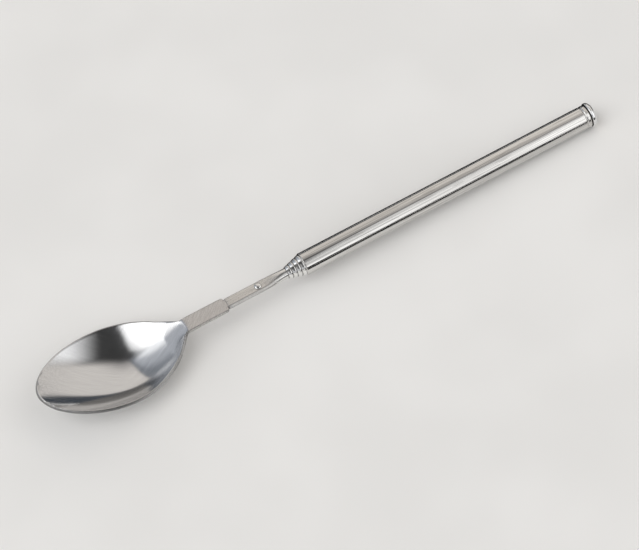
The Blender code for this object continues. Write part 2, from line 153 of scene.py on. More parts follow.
class Bench:
    """Adds nodes to one node tree and joins them."""

    def __init__(self, tree):
        self.tree = tree

    def plug(self, socket, value):
        """Feed a socket with a wire, or set its own value. A colour is given without its alpha."""
        if isinstance(value, Wire):
            self.tree.links.new(value.socket, socket)
        elif socket.type == "RGBA":
            socket.default_value = (*value, 1.0)
        else:
            socket.default_value = value

    def add(self, kind, settings=None, sockets=None, out=0):
        """Add a node: its settings first, then the values or wires of its sockets."""
        node = self.tree.nodes.new(kind)
        for name, value in (settings or {}).items():
            setattr(node, name, value)
        for key, value in (sockets or {}).items():
            self.plug(node.inputs[key], value)
        return Wire(self, node.outputs[out])

    def maths(self, operation, *terms):
        """One Math node."""
        return self.add("ShaderNodeMath", {"operation": operation}, dict(enumerate(terms)))

    def smooth(self, value, low, high):
        """0 at low, 1 at high, eased between. With low above high it falls."""
        settings = {"interpolation_type": "SMOOTHSTEP"}
        return self.add("ShaderNodeMapRange", settings, {0: value, 1: low, 2: high})

    def between(self, value, low, high, soft):
        """1 between low and high, with a soft step at both."""
        rise = self.smooth(value, low - soft, low + soft)
        return rise * self.smooth(value, high + soft, high - soft)

    def blend(self, share, first, second):
        """Mix two colours, or wires of colours."""
        sockets = {0: share, 6: first, 7: second}
        return self.add("ShaderNodeMix", {"data_type": "RGBA"}, sockets, out=2)

    def vector(self, x, y, z):
        """Put three numbers or wires together."""
        return self.add("ShaderNodeCombineXYZ", None, {0: x, 1: y, 2: z})

    def parts(self, vector):
        """Take a vector apart into three wires."""
        node = self.tree.nodes.new("ShaderNodeSeparateXYZ")
        self.plug(node.inputs[0], vector)
        return [Wire(self, output) for output in node.outputs]

    def noise(self, vector, detail=3.0, roughness=0.6):
        """Noise from 0 to 1, with features one unit of the vector in size."""
        sockets = {"Vector": vector, "Scale": 1.0, "Detail": detail, "Roughness": roughness}
        return self.smooth(self.add("ShaderNodeTexNoise", None, sockets), *NOISE_SPAN)


print("nodes can now be written as expressions")

# %% [markdown]
# ## The light
# Polished steel has no colour of its own to speak of: it shows the room. So the light is a room
# of soft panels, painted on the world by compass angle and height, each over the ones before it:
# a pale wall behind the spoon, a grey one on its left that glows higher up, a softbox with a
# fainter skirt above that side, a window in front, and dark gaps along the horizon. On average
# they light the spoon at a plain level, so that a colour comes out about as it is written.
#
# The hollow of the bowl also mirrors itself, so some rays reach the room only after the steel has
# reflected them twice. Beside the photograph they looked too bright, most likely because brushed
# steel loses more light at each reflection than this shader does. The Light Path node counts the
# reflections, so a last mask can dim a part of the room for just these rays.

# %% World of soft panels
# All angles are in degrees. Azimuth is zero at the back wall and grows towards the cap. The sides
# are given at the height SIDES_AT: azimuth, lean for each degree of height, softness.
DEGREES = 180 / math.pi
SIDES_AT = 45
PANELS = [
    # name, left side, right side, bottom and softness, top and softness, arch of the top, glow
    ("back_wall", (-6, 0, 1.5), (108, 0, 20), (-40, 5), (71.5, 23.5), 0, (0.83, 0.79, 0.745)),
    ("side_wall", (-100, 0, 5), (-6, 0, 1.5), (-40, 5), (73, 9), 0, (0.24, 0.26, 0.29)),
    ("side_glow", (-114, 0, 8), (-19, 0, 6), (8, 5), (75, 9), 0, (0.52, 0.545, 0.59)),
    ("side_bounce", (-95, 0, 8), (-38, 0, 7), (46, 4), (68, 6), 0, (1.3, 1.32, 1.35)),
    ("softbox_skirt", (-112, 0, 5), (-73, 0, 9), (12, 5), (45, 5), 0, (1.6, 1.6, 1.6)),
    ("softbox", (-156, 0.4, 9), (-72, 0.7, 9), (35, 5), (78, 4), 9, (2.5, 2.5, 2.5)),
    ("right_gap", (62, 0, 4), (100, 0, 4), (-10, 3), (17, 2), 0, (0.03, 0.03, 0.035)),
    ("front_glow", (121, 0, 8), (176, 0, 6), (8, 3), (84, 5), 0, (0.6, 0.6, 0.6)),
    ("front_window", (106, 0, 12), (158, -0.4, 4), (8, 2), (61, 13), 0, (1.32, 1.32, 1.32)),
    ("front_wall", (177, 0, 4), (250, 0, 10), (5, 3), (31, 5), 0, (0.62, 0.63, 0.65)),
    ("horizon_strip", (5, 0, 2), (54, 0, 5), (-20, 3), (14, 1.5), 0, (0.07, 0.08, 0.095)),
    ("front_strip", (110, 0, 10), (240, 0, 10), (-20, 2), (4, 2), 0, (0.02, 0.02, 0.02)),
]
CEILING = (0.1, 0.1, 0.11)
# The part of the room that is dimmed for rays that were reflected twice, and by which share.
TWICE_SEEN = ((-30, 0, 8), (85, 0, 8), (39, 4), (95, 2), 0)
TWICE_LOSS = 0.64


def panel_mask(bench, azimuth, height, left, right, bottom, top, arch):
    """1 inside a panel of the room, with a soft step at each of its four sides."""
    middle = (left[0] + right[0]) / 2
    half = (right[0] - left[0]) / 2
    offset = bench.maths("WRAP", azimuth - middle, 180, -180)
    from_left = offset - (height - SIDES_AT) * left[1] + half
    from_right = half - offset + (height - SIDES_AT) * right[1]
    sides = bench.smooth(from_left, -left[2], left[2])
    sides = sides * bench.smooth(from_right, -right[2], right[2])
    below_top = top[0] - offset * offset * (arch / half**2) - height
    rise = bench.smooth(height, bottom[0] - bottom[1], bottom[0] + bottom[1])
    return sides * rise * bench.smooth(below_top, -top[1], top[1])


def paint_room():
    """World shader: the panels one over the other under an even dark ceiling."""
    world = bpy.data.worlds.new("studio")
    world.use_nodes = True
    world.node_tree.nodes.clear()
    bench = Bench(world.node_tree)
    x, y, z = bench.parts(bench.add("ShaderNodeTexCoord", out="Generated"))
    azimuth = bench.maths("ARCTAN2", x, y) * DEGREES
    height = bench.maths("ARCSINE", z) * DEGREES
    colour = CEILING
    for name, *sides, glow in PANELS:
        colour = bench.blend(panel_mask(bench, azimuth, height, *sides), colour, glow)
    reflections = bench.add("ShaderNodeLightPath", out="Glossy Depth")
    twice = bench.between(reflections, 1.5, 2.5, 0.3)
    dimmed = panel_mask(bench, azimuth, height, *TWICE_SEEN) * twice * TWICE_LOSS
    colour = bench.blend(dimmed, colour, (0, 0, 0))
    shine = bench.add("ShaderNodeBackground", None, {"Color": colour, "Strength": 1.0})
    output = world.node_tree.nodes.new("ShaderNodeOutputWorld")
    bench.plug(output.inputs["Surface"], shine)
    bpy.context.scene.world = world


paint_room()
bpy.context.scene.view_settings.view_transform = "Standard"
print("panels:", ", ".join(panel[0] for panel in PANELS))

# %% [markdown]
# Three dark cloths finish the light, of the kind that hang beside bright metal in a studio. One
# is above the bowl and draws the dark shape in its hollow. The other two lie behind and in front
# of the spoon and draw the dark lines along the tube's edges. A world has no near or far, so they
# are real surfaces, but only reflections see them: they hide nothing and cast no shadow.

# %% Outlines of the cloths
# All in mm from the middle of a cloth. Each pair is where a mask leaves 0 and where it reaches 1.
CARD_LEFT = (-95, -22)
CARD_LOWER_RIGHT = (150, 45)
CARD_UPPER_RIGHT = (130, 55)
BACK_START = -125
BACK_START_SOFT = 3
BACK_END = -45
BACK_END_SOFT = 40
BACK_SIDE = (-148, -140)
START_STEP = 16
START_STEPS_AT = (-70, -110)
END_STEP = 60
END_STEPS_AT = (-40, -70)
FRONT_SIDE = (-90, -60)
FRONT_END = (130, 124)


def card_shade(bench, x, y):
    """The card above the bowl has a long soft side on its left and a corner on its right."""
    lower_right = bench.smooth(x - y, *CARD_LOWER_RIGHT)
    upper_right = bench.smooth(x + y * 0.8, *CARD_UPPER_RIGHT)
    left = bench.smooth(x - y * 0.15, *CARD_LEFT)
    return left * bench.maths("MINIMUM", lower_right, upper_right)


def back_shade(bench, x, y):
    """The back cloth starts close to the tubes. Beside the bowl it starts and ends further back."""
    start = bench.smooth(x, *START_STEPS_AT) * START_STEP + BACK_START
    end = bench.smooth(x, *END_STEPS_AT) * END_STEP + BACK_END
    dark = bench.smooth(y - start, 0, BACK_START_SOFT) * bench.smooth(x, *BACK_SIDE)
    return dark * bench.smooth(y - end, BACK_END_SOFT, 0)


def front_shade(bench, x, y):
    """The front cloth ends in front of the rod and fades out towards the bowl."""
    return bench.smooth(y, *FRONT_END) * bench.smooth(x, *FRONT_SIDE)


# %% Dark cloths
UPWARDS = Vector((0, 0, 1))
CLOTHS = [
    # name, place from the rod's zero and half size in mm, facing, glow, outline
    ("card", (-49, -48, 120), (130, 150), Vector((0.176, -0.435, 0.883)), 0.045, card_shade),
    ("back_cloth", (70, 130, -7.5), (150, 130), UPWARDS, 0.02, back_shade),
    ("front_cloth", (65, -155, -7.5), (90, 130), UPWARDS, 0.02, front_shade),
]


def make_cloth(name, place, half, facing, glow, shade_of):
    """A dark rectangle that only reflections see, clear wherever its shade is 0."""
    width, height = (side * MM for side in half)
    corners = [(-width, -height, 0), (width, -height, 0), (width, height, 0), (-width, height, 0)]
    mesh = bpy.data.meshes.new(name)
    mesh.from_pydata(corners, [], [(0, 1, 2, 3)])
    material = bpy.data.materials.new(name)
    material.use_nodes = True
    material.node_tree.nodes.clear()
    bench = Bench(material.node_tree)
    x, y, z = bench.parts(bench.add("ShaderNodeTexCoord", out="Object"))
    shade = shade_of(bench, x / MM, y / MM)
    dark = bench.add("ShaderNodeEmission", None, {"Color": (glow,) * 3, "Strength": 1.0})
    clear = bench.add("ShaderNodeBsdfTransparent")
    mixed = bench.add("ShaderNodeMixShader", None, {0: shade, 1: clear, 2: dark})
    output = material.node_tree.nodes.new("ShaderNodeOutputMaterial")
    bench.plug(output.inputs["Surface"], mixed)
    mesh.materials.append(material)
    cloth = put(name, mesh)
    facing = facing.normalized()
    # A leaning cloth keeps its own X axis level. One that faces straight up is not turned at all.
    side = Vector((-facing.y, facing.x, 0)).normalized() if facing.z < 1 else Vector((1, 0, 0))
    turn = Matrix((side, facing.cross(side), facing)).transposed()
    cloth.matrix_world = Matrix.Translation(rod_zero + Vector(place) * MM) @ turn.to_4x4()
    cloth.visible_camera = False
    cloth.visible_diffuse = False
    cloth.visible_shadow = False


for cloth_values in CLOTHS:
    make_cloth(*cloth_values)
print("dark cloths:", ", ".join(values[0] for values in CLOTHS))

# %% [markdown]
# ## The floor
# A pale disc, large enough to reach past the frame in every view. It carries the spoon's shadow
# and shows in the lower half of every tube. Its material starts as every finish does: with the
# rod's own coordinates in mm, so that a pattern has a real size and runs along the rod.

# %% Floor
FLOOR_RADIUS = 4.0
FLOOR_SIDES = 96
FLOOR_DROP = 0.05 * MM
FLOOR_TONES = (0.8, 0.79, 0.77), (0.84, 0.83, 0.81)
FLOOR_CLOUD = 60


def new_finish(name):
    """An empty material, with its bench, its shader node and the rod's coordinates in mm."""
    material = bpy.data.materials.new(name)
    material.use_nodes = True
    bench = Bench(material.node_tree)
    shader = material.node_tree.nodes["Principled BSDF"]
    turned = {"Vector": bench.add("ShaderNodeTexCoord", out="Object"), "Scale": (1 / MM,) * 3}
    turned["Location"] = -(TURN.transposed() @ rod_zero) / MM
    turned["Rotation"] = (0, -TILT, 0)
    place = bench.add("ShaderNodeMapping", {"vector_type": "POINT"}, turned)
    return material, bench, shader, bench.parts(place)


def make_floor():
    """The disc and its matt off-white finish."""
    ring = []
    for side in range(FLOOR_SIDES):
        angle = 2 * math.pi * side / FLOOR_SIDES
        ring.append((FLOOR_RADIUS * math.cos(angle), FLOOR_RADIUS * math.sin(angle), -FLOOR_DROP))
    mesh = bpy.data.meshes.new("floor")
    mesh.from_pydata(ring, [], [tuple(range(FLOOR_SIDES))])
    material, bench, shader, (x, y, z) = new_finish("floor_paint")
    cloud = bench.noise(bench.vector(x / FLOOR_CLOUD, y / FLOOR_CLOUD, 0), 2.0, 0.5)
    bench.plug(shader.inputs["Base Color"], bench.blend(cloud, *FLOOR_TONES))
    shader.inputs["Roughness"].default_value = 0.6
    shader.inputs["Specular IOR Level"].default_value = 0.2
    mesh.materials.append(material)
    put("floor", mesh)


make_floor()
print(f"floor disc of {FLOOR_RADIUS} m radius")

# %% [markdown]
# ## Steel finishes
# All the steel is bare metal, so each finish is a metallic shader with a recipe for its colour,
# its roughness and its relief. Some marks belong to a place, such as the painted shade at the rear
# lip, so the places along the rod come first.
#
# Drawn tube has streaks that run its whole length. They are noise, stretched along the rod: in
# all three directions at once, so that no seam shows anywhere round the tube.

# %% Places along the rod
HANDLE_LENGTH = 111.0 * MM
RING_PITCH = 1.52 * MM
STAGES = 5
TIP_REACH = 22.4 * MM
SHOULDER_GAP = 0.3 * MM
TIP_FRONT = -(STAGES - 1) * RING_PITCH - TIP_REACH
print(f"the tip tube reaches {-TIP_FRONT / MM:.2f} mm out of the handle's mouth")


# %% Helpers for metal
def marks(bench, place, lengths, detail=3.0, roughness=0.6):
    """Noise whose features have these lengths in mm along the rod, across it and upwards."""
    x, y, z = place
    stretched = bench.vector(x / lengths[0], y / lengths[1], z / lengths[2])
    return bench.noise(stretched, detail, roughness)


def metal(name, recipe, *details):
    """Bare metal. Its recipe gives colour, roughness, relief and the depth of the relief in mm."""
    material, bench, shader, place = new_finish(name)
    colour, roughness, relief, depth = recipe(bench, place, *details)
    shader.inputs["Metallic"].default_value = 1.0
    bench.plug(shader.inputs["Base Color"], colour)
    bench.plug(shader.inputs["Roughness"], roughness)
    sockets = {"Strength": 1.0, "Distance": depth * MM, "Height": relief}
    bench.plug(shader.inputs["Normal"], bench.add("ShaderNodeBump", None, sockets))
    return material


# %% Drawn tube of the handle
TUBE_TONES = (0.5, 0.49, 0.475), (0.83, 0.82, 0.8)
SMUDGE_TONE = (0.36, 0.35, 0.34)
LIP_SHADE_TONE = (0.1, 0.09, 0.08)


def drawn_tube(bench, place):
    """Drawn, lightly brushed tube: long streaks, faint dark smudges, painted shade at the rear lip.
    """
    wide = marks(bench, place, (60.0, 0.6, 0.6), 1.0, 0.5)
    fine = marks(bench, place, (28.0, 0.17, 0.17), 1.0, 0.5)
    streaks = wide * 0.5 + fine * 0.5
    smudge = bench.smooth(marks(bench, place, (9.0, 0.8, 0.8), 2.0, 0.5), 0.8, 1.0)
    # Painted shade: the last quarter mm of the tube, where its lip meets the cap, is darkened.
    lip_shade = bench.smooth(place[0], HANDLE_LENGTH / MM - 0.25, HANDLE_LENGTH / MM - 0.05)
    tone = bench.blend(streaks, *TUBE_TONES)
    tone = bench.blend(smudge * 0.3, tone, SMUDGE_TONE)
    tone = bench.blend(lip_shade * 0.8, tone, LIP_SHADE_TONE)
    roughness = 0.075 + 0.03 * wide + 0.03 * fine + 0.06 * smudge + 0.2 * lip_shade
    return tone, roughness, streaks, 0.004


TUBE_STEEL = metal("tube_drawn_steel", drawn_tube)
print("finish:", TUBE_STEEL.name)

# %% [markdown]
# The sliding tubes are plated and polished, brighter than the handle. Painted shade darkens the
# very front of each mouth, where each ring steps down to the next tube. The mouths lie at
# different places along the rod, so one recipe makes a finish for each of the four.

# %% Polished rings
RING_TONES = (0.84, 0.835, 0.82), (0.95, 0.945, 0.935)
GAP_SHADE_TONE = (0.07, 0.06, 0.05)
GAP_SHADE_REACH = (0.26, 0.12)


def polished_ring(bench, place, stage):
    """One sliding tube: plated and polished, with sliding marks and painted shade at its mouth."""
    lines = marks(bench, place, (14.0, 0.25, 0.25), 2.0, 0.5)
    patches = marks(bench, place, (1.2, 0.8, 0.8))
    behind_mouth = place[0] + RING_PITCH * stage / MM
    # Painted shade: the front of the mouth, in the step down to the next tube, is darkened.
    gap_shade = bench.smooth(behind_mouth + patches * 0.06, *GAP_SHADE_REACH)
    tone = bench.blend(patches, *RING_TONES)
    tone = bench.blend(gap_shade * 0.85, tone, GAP_SHADE_TONE)
    roughness = 0.06 + 0.06 * lines * patches + 0.04 * patches + 0.2 * gap_shade
    return tone, roughness, lines, 0.003


RING_STEELS = {}
for stage in range(1, STAGES):
    RING_STEELS[stage] = metal(f"ring_polished_steel_{stage}", polished_ring, stage)
print("finishes:", ", ".join(finish.name for finish in RING_STEELS.values()))

# %% [markdown]
# The spoon head is stamped from sheet and brushed satin on a belt. The strokes slant one way near
# the neck and the other way towards the tip. The bowl is brighter than the neck plate: the belt
# stops at the crease, and behind it the sheet keeps the dull, speckled skin of the press. One
# material holds both, joined at the crease by a mask on the distance along the rod. The die
# tears the edge of the sheet where it cuts through. The edge is darker, partly from those tears
# and partly as a painted dark reflection, and painted shade makes it darkest where it runs into
# the tip tube.

# %% Satin bowl and dull plate
CREASE_AT = -44.0
NECK_STROKES = math.radians(20)
TIP_STROKES = math.radians(-34)
SATIN_TONES = (0.62, 0.62, 0.625), (0.72, 0.72, 0.72)
MOTTLE_TONE = (0.5, 0.5, 0.505)
PLATE_TONES = (0.47, 0.45, 0.435), (0.73, 0.71, 0.695)


def brushed(bench, place, direction, length, width):
    """Stroke pattern that runs in a direction of the bowl's plan, measured from the rod."""
    x, y, z = place
    ahead = x * math.cos(direction) + y * math.sin(direction)
    beside = y * math.cos(direction) - x * math.sin(direction)
    return bench.noise(bench.vector(ahead / length, beside / width, z / length))


def satin_head(bench, place):
    """Satin strokes over the bowl, mottled towards its tip, and the dull plate behind."""
    x, y, z = place
    near_neck = bench.smooth(x, -74, -58)
    near_tip = bench.smooth(x - y * 0.5, -84, -96)
    plate = bench.smooth(x - y * 0.04, CREASE_AT - 0.3, CREASE_AT + 0.3)
    neck_fine = brushed(bench, place, NECK_STROKES, 6.0, 0.25)
    neck_broad = brushed(bench, place, NECK_STROKES, 10.0, 1.2)
    tip_fine = brushed(bench, place, TIP_STROKES, 7.0, 0.3)
    strokes = choose(near_neck, tip_fine * 0.5, neck_fine * 0.6 + neck_broad * 0.4)
    mottle = near_tip * marks(bench, place, (0.5, 0.5, 0.5))
    speck = marks(bench, place, (0.3, 0.3, 0.3), 3.0, 0.7)
    wipes = bench.noise(bench.vector((x - y) / 0.35, (x + y) / 5.0, z / 3.0), 2.0, 0.6)
    satin = bench.blend(mottle * 0.5, bench.blend(strokes, *SATIN_TONES), MOTTLE_TONE)
    dull = bench.blend(speck * 0.55 + wipes * 0.45, *PLATE_TONES)
    bowl_rough = 0.1 + 0.05 * strokes + 0.05 * mottle + 0.05 * near_neck
    roughness = choose(plate, bowl_rough, 0.32 + 0.12 * speck)
    bowl_relief = strokes * (0.5 + 0.9 * near_neck) + mottle * 0.9
    relief = choose(plate, bowl_relief, speck + wipes * 0.6)
    return bench.blend(plate, satin, dull), roughness, relief, 0.005


HEAD_STEEL = metal("head_satin_steel", satin_head)
print("finish:", HEAD_STEEL.name)

# %% Sheared edge of the sheet
EDGE_TINT = (1.0, 0.98, 0.955)
SEAM_SHADE_TONE = (0.06, 0.055, 0.05)


def sheared_edge(bench, place):
    """Darker than the faces: die tears and a painted dark reflection; painted shade at the tip
    tube.
    """
    x, y, z = place
    tears = marks(bench, place, (0.25, 0.25, 1.6))
    plate = bench.smooth(x, CREASE_AT - 0.5, CREASE_AT + 0.5)
    shoulder = (TIP_FRONT - SHOULDER_GAP) / MM
    # Painted shade where the plate runs into the tip tube.
    seam_shade = bench.smooth(x, shoulder - 0.7, shoulder - 0.3)
    # The grey stays below the faces' tone: partly the die's tears, partly a painted dark
    # reflection.
    low = 0.22 + 0.2 * plate
    grey = low + (0.36 + 0.24 * plate - low) * tears
    tone = bench.vector(*[grey * tint for tint in EDGE_TINT])
    tone = bench.blend(seam_shade * 0.8, tone, SEAM_SHADE_TONE)
    return tone, 0.26 + 0.14 * tears, tears, 0.006


EDGE_STEEL = metal("head_sheared_edge", sheared_edge)
print("finish:", EDGE_STEEL.name)

# %% [markdown]
# The front of the smallest tube is pressed flat between two jaws, which leave it duller than the
# tube behind it, and the rivet is a bright dome with painted shade round its foot. The cap is
# chromed: almost a mirror, with a few hairlines. The shims inside are spring brass and show only
# at their ends when the rod is open.

# %% Pressed tube and rivet
ROUND_FROM = (-13, -7)
PRESSED_TONES = (0.49, 0.475, 0.455), (0.76, 0.74, 0.715)
ROUND_TONES = (0.7, 0.695, 0.68), (0.9, 0.895, 0.88)
RIVET_TONES = (0.7, 0.695, 0.68), (0.84, 0.835, 0.82)
FOOT_SHADE_TONE = (0.14, 0.13, 0.12)
FOOT_SHADE_SPAN = (1.2, 1.02)


def pressed_tube(bench, place):
    """Tip tube: dull and brushed where it is pressed flat, brighter where it is still round."""
    lines = marks(bench, place, (8.0, 0.22, 0.22))
    speck = marks(bench, place, (0.5, 0.3, 0.3), 3.0, 0.7)
    round_part = bench.smooth(place[0], *ROUND_FROM)
    dull = bench.blend(lines * 0.65 + speck * 0.35, *PRESSED_TONES)
    tone = bench.blend(round_part, dull, bench.blend(lines, *ROUND_TONES))
    roughness = choose(round_part, 0.27 + 0.1 * speck, 0.14 + 0.06 * lines)
    return tone, roughness, lines * 0.7 + speck * 0.3, 0.005


def set_rivet(bench, place):
    """Rivet: snapped bright by the setting tool, with painted shade round the foot of its head."""
    speck = marks(bench, place, (0.4, 0.4, 0.4))
    # Painted shade: the crevice where the head and tail meet the flattened tube is darkened.
    foot_shade = bench.smooth(abs(place[2]), *FOOT_SHADE_SPAN)
    tone = bench.blend(foot_shade, bench.blend(speck, *RIVET_TONES), FOOT_SHADE_TONE)
    return tone, 0.17 + 0.08 * speck + 0.2 * foot_shade, speck, 0.002


PRESSED_STEEL = metal("pressed_tube_steel", pressed_tube)
RIVET_STEEL = metal("rivet_bright_steel", set_rivet)
print("finishes:", PRESSED_STEEL.name, RIVET_STEEL.name)

# %% Chrome and brass
CHROME_TONES = (0.76, 0.765, 0.77), (0.86, 0.86, 0.855)
GROOVE_SHADE_TONE = (0.05, 0.045, 0.04)
BRASS_TONES = (0.5, 0.34, 0.14), (0.78, 0.6, 0.3)


def chromed_cap(bench, place):
    """Cap: bright chrome with hairlines, a haze from handling and painted shade in the groove
    behind it.
    """
    x, y, z = place
    hair = marks(bench, place, (0.18, 2.6, 1.2))
    haze = marks(bench, place, (1.8, 1.8, 1.8))
    radius = bench.maths("SQRT", y * y + z * z)
    past_tube = x - HANDLE_LENGTH / MM
    # Painted shade in the recess between the cap and the tube's lip.
    groove = bench.smooth(radius, 4.12, 3.95) * bench.smooth(past_tube, 0.8, 0.5)
    tone = bench.blend(groove, bench.blend(haze, *CHROME_TONES), GROOVE_SHADE_TONE)
    return tone, 0.035 + 0.04 * haze + 0.02 * hair + 0.4 * groove, hair, 0.0015


def spring_brass(bench, place):
    """Shims: rolled spring brass, darker where it has rubbed."""
    lines = marks(bench, place, (3.0, 0.2, 0.2))
    rubbed = marks(bench, place, (1.4, 1.4, 1.4))
    return bench.blend(rubbed, *BRASS_TONES), 0.24 + 0.16 * lines, lines, 0.004


CHROME = metal("cap_polished_chrome", chromed_cap)
BRASS = metal("shim_rolled_brass", spring_brass)
print("finishes:", CHROME.name, BRASS.name)

# %% [markdown]
# ## Turned pieces
# The tubes, the cap and the rivet are all round: each is an outline turned about an axis. One
# Geometry Nodes tree does that for all of them. It takes the outline as a string of points,
# lays a grid with one row for each point and bends the grid round the axis. For the four sliding
# tubes it also shrinks the outline by one tube size and shifts it by one ring.

# %% Start and end of a tree
WELD = 0.0005 * MM
SHARP_ANGLE = math.radians(34)


def new_tree(name, counts, lengths=()):
    """A geometry tree with these inputs and a finish. Returns its bench and their wires by name."""
    tree = bpy.data.node_groups.new(name, "GeometryNodeTree")
    tree.interface.new_socket("Geometry", in_out="OUTPUT", socket_type="NodeSocketGeometry")
    inputs = [("Geometry", "Geometry")] + [(label, "Int") for label in counts]
    inputs += [(label, "Float") for label in lengths] + [("Finish", "Material")]
    for label, kind in inputs:
        tree.interface.new_socket(label, in_out="INPUT", socket_type=f"NodeSocket{kind}")
    bench = Bench(tree)
    entry = tree.nodes.new("NodeGroupInput")
    return bench, {socket.name: Wire(bench, socket) for socket in entry.outputs if socket.name}


def close_tree(bench, shape, finish):
    """Weld, shade smooth but for sharp corners, realize, set the material, and end the tree."""
    shape = bench.add("GeometryNodeMergeByDistance", None, {"Geometry": shape, "Distance": WELD})
    shape = bench.add("GeometryNodeSetShadeSmooth", {"domain": "FACE"}, {"Geometry": shape})
    corner = bench.add("GeometryNodeInputMeshEdgeAngle", out="Unsigned Angle")
    sharp = bench.maths("GREATER_THAN", corner, SHARP_ANGLE)
    sockets = {"Geometry": shape, "Selection": sharp, "Shade Smooth": False}
    shape = bench.add("GeometryNodeSetShadeSmooth", {"domain": "EDGE"}, sockets)
    shape = bench.add("GeometryNodeRealizeInstances", None, {"Geometry": shape})
    shape = bench.add("GeometryNodeSetMaterial", None, {"Geometry": shape, "Material": finish})
    end = bench.tree.nodes.new("NodeGroupOutput")
    bench.plug(end.inputs[0], shape)


# %% Turning tree
def outline_grid(bench, wires):
    """Grid with a row for each outline point. Returns it with the wires of point and angle."""
    count = bench.add("GeometryNodeAttributeDomainSize", None, {"Geometry": wires["Geometry"]})
    columns = wires["Sides"] + 1
    grid = bench.add("GeometryNodeMeshGrid", None, {"Vertices X": count, "Vertices Y": columns})
    index = bench.add("GeometryNodeInputIndex")
    row = bench.maths("FLOOR", (index + 0.5) / columns)
    angle = (index - row * columns + 0.5) * (2 * math.pi) / wires["Sides"]
    place = bench.add("GeometryNodeInputPosition")
    settings = {"data_type": "FLOAT_VECTOR", "domain": "POINT"}
    sockets = {"Geometry": wires["Geometry"], "Value": place, "Index": row}
    point = bench.add("GeometryNodeSampleIndex", settings, sockets)
    return grid, point, angle


def turning_tree():
    """Tree that turns an outline about X."""
    bench, wires = new_tree("turn_outline", ["Sides"], ["Radius change", "Shift"])
    grid, point, angle = outline_grid(bench, wires)
    x, radius, unused = bench.parts(point)
    radius = radius + wires["Radius change"]
    sine = bench.maths("SINE", angle)
    cosine = bench.maths("COSINE", angle)
    place = bench.vector(x + wires["Shift"], radius * sine, radius * cosine)
    shape = bench.add("GeometryNodeSetPosition", None, {"Geometry": grid, "Position": place})
    close_tree(bench, shape, wires["Finish"])
    return bench


TURNING = turning_tree()
print("turning tree has", len(TURNING.tree.nodes), "nodes")

# %% [markdown]
# A tree runs as a modifier on an object that holds only the outline. Its inputs are set by the
# identifier of each socket before Blender evaluates it, and the result is kept as a plain mesh.
# That mesh is then moved from the rod's frame into the CAD frame, the piece rides on its body,
# and the CAD node that it stands for is hidden.

# %% Run a tree, place a piece
SUPPORT = 0.07 * MM


def run_tree(bench, name, outline, values, finish_up=None):
    """Evaluate a tree on an outline and return the plain mesh."""
    mesh = bpy.data.meshes.new(f"{name}_outline")
    points = [(x, radius, 0) for x, radius in outline]
    mesh.from_pydata(points, [(step, step + 1) for step in range(len(points) - 1)], [])
    maker = put(f"{name}_maker", mesh)
    modifier = maker.modifiers.new("maker", "NODES")
    modifier.node_group = bench.tree
    for item in bench.tree.interface.items_tree:
        if item.in_out == "INPUT" and item.name in values:
            modifier[item.identifier] = values[item.name]
    if finish_up:
        finish_up(maker)
    graph = bpy.context.evaluated_depsgraph_get()
    made = bpy.data.meshes.new_from_object(
        maker.evaluated_get(graph), preserve_all_data_layers=True, depsgraph=graph
    )
    made.name = name
    bpy.data.objects.remove(maker, do_unlink=True)
    made.materials.clear()
    made.materials.append(values["Finish"])
    return made


def place_piece(mesh, body, node, local=Matrix.Identity(4)):
    mesh.transform(ROD @ local)
    piece = put(mesh.name, mesh)
    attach(piece, body)
    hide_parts(node)
    mesh.calc_loop_triangles()
    print(f"{mesh.name}: {len(mesh.loop_triangles)} triangles, rides on {body}")


def steadied(outline):
    """Add a point close to both ends of each long straight, so that its shading stays even."""
    points = [outline[0]]
    for start, end in zip(outline, outline[1:]):
        length = math.dist(start, end)
        if length > 4 * SUPPORT:
            for share in (SUPPORT / length, 1 - SUPPORT / length):
                points.append(tuple(a + (b - a) * share for a, b in zip(start, end)))
        points.append(end)
    return points


def arc(centre, reach, start, end, steps):
    """Points on a part of an ellipse, from one angle to the other, in degrees."""
    points = []
    for step in range(steps + 1):
        angle = math.radians(start + (end - start) * step / steps)
        across_arc = centre[1] + reach[1] * math.sin(angle)
        points.append((centre[0] + reach[0] * math.cos(angle), across_arc))
    return points


# %% [markdown]
# ### The handle tube
# The handle is the largest tube, 8 mm across. Its mouth is rolled in over the next tube, and near
# its rear end a narrow groove is rolled into the wall to grip the cap. The outline runs from the
# mouth along the outside, round the rear lip and back along the bore.

# %% Handle tube
HANDLE_RADIUS = 4.0 * MM
TUBE_WALL = 0.27 * MM
NEST_GAP = 0.17 * MM
TUBE_STEP = TUBE_WALL + NEST_GAP
MOUTH_GAP = 0.05 * MM
MOUTH_LAND = 0.5 * MM
MOUTH_RAMP = 0.4 * MM
HANDLE_SIDES = 112
CRIMP_FROM_END = 1.5 * MM
CRIMP_WIDTH = 0.9 * MM
CRIMP_DEPTH = 0.32 * MM
CRIMP_STEPS = 14
MOUTH_ROUND = 0.3 * MM
LIP_LENGTH = 0.5 * MM
LIP_DROP = 0.22 * MM


def crimp(end, radius):
    """The rolled groove, as a smooth dip in a radius."""
    points = []
    for step in range(CRIMP_STEPS + 1):
        share = 2 * step / CRIMP_STEPS - 1
        dip = CRIMP_DEPTH * (1 + math.cos(math.pi * share)) / 2
        points.append((end - CRIMP_FROM_END + share * CRIMP_WIDTH / 2, radius - dip))
    return points


def bore_outline(length, outside):
    """Inside of a tube, from its rear end forward to the land of its mouth."""
    bore = outside - TUBE_WALL
    mouth = outside - TUBE_STEP + MOUTH_GAP
    return [(length, bore), (MOUTH_LAND + MOUTH_RAMP, bore), (MOUTH_LAND, mouth), (0, mouth)]


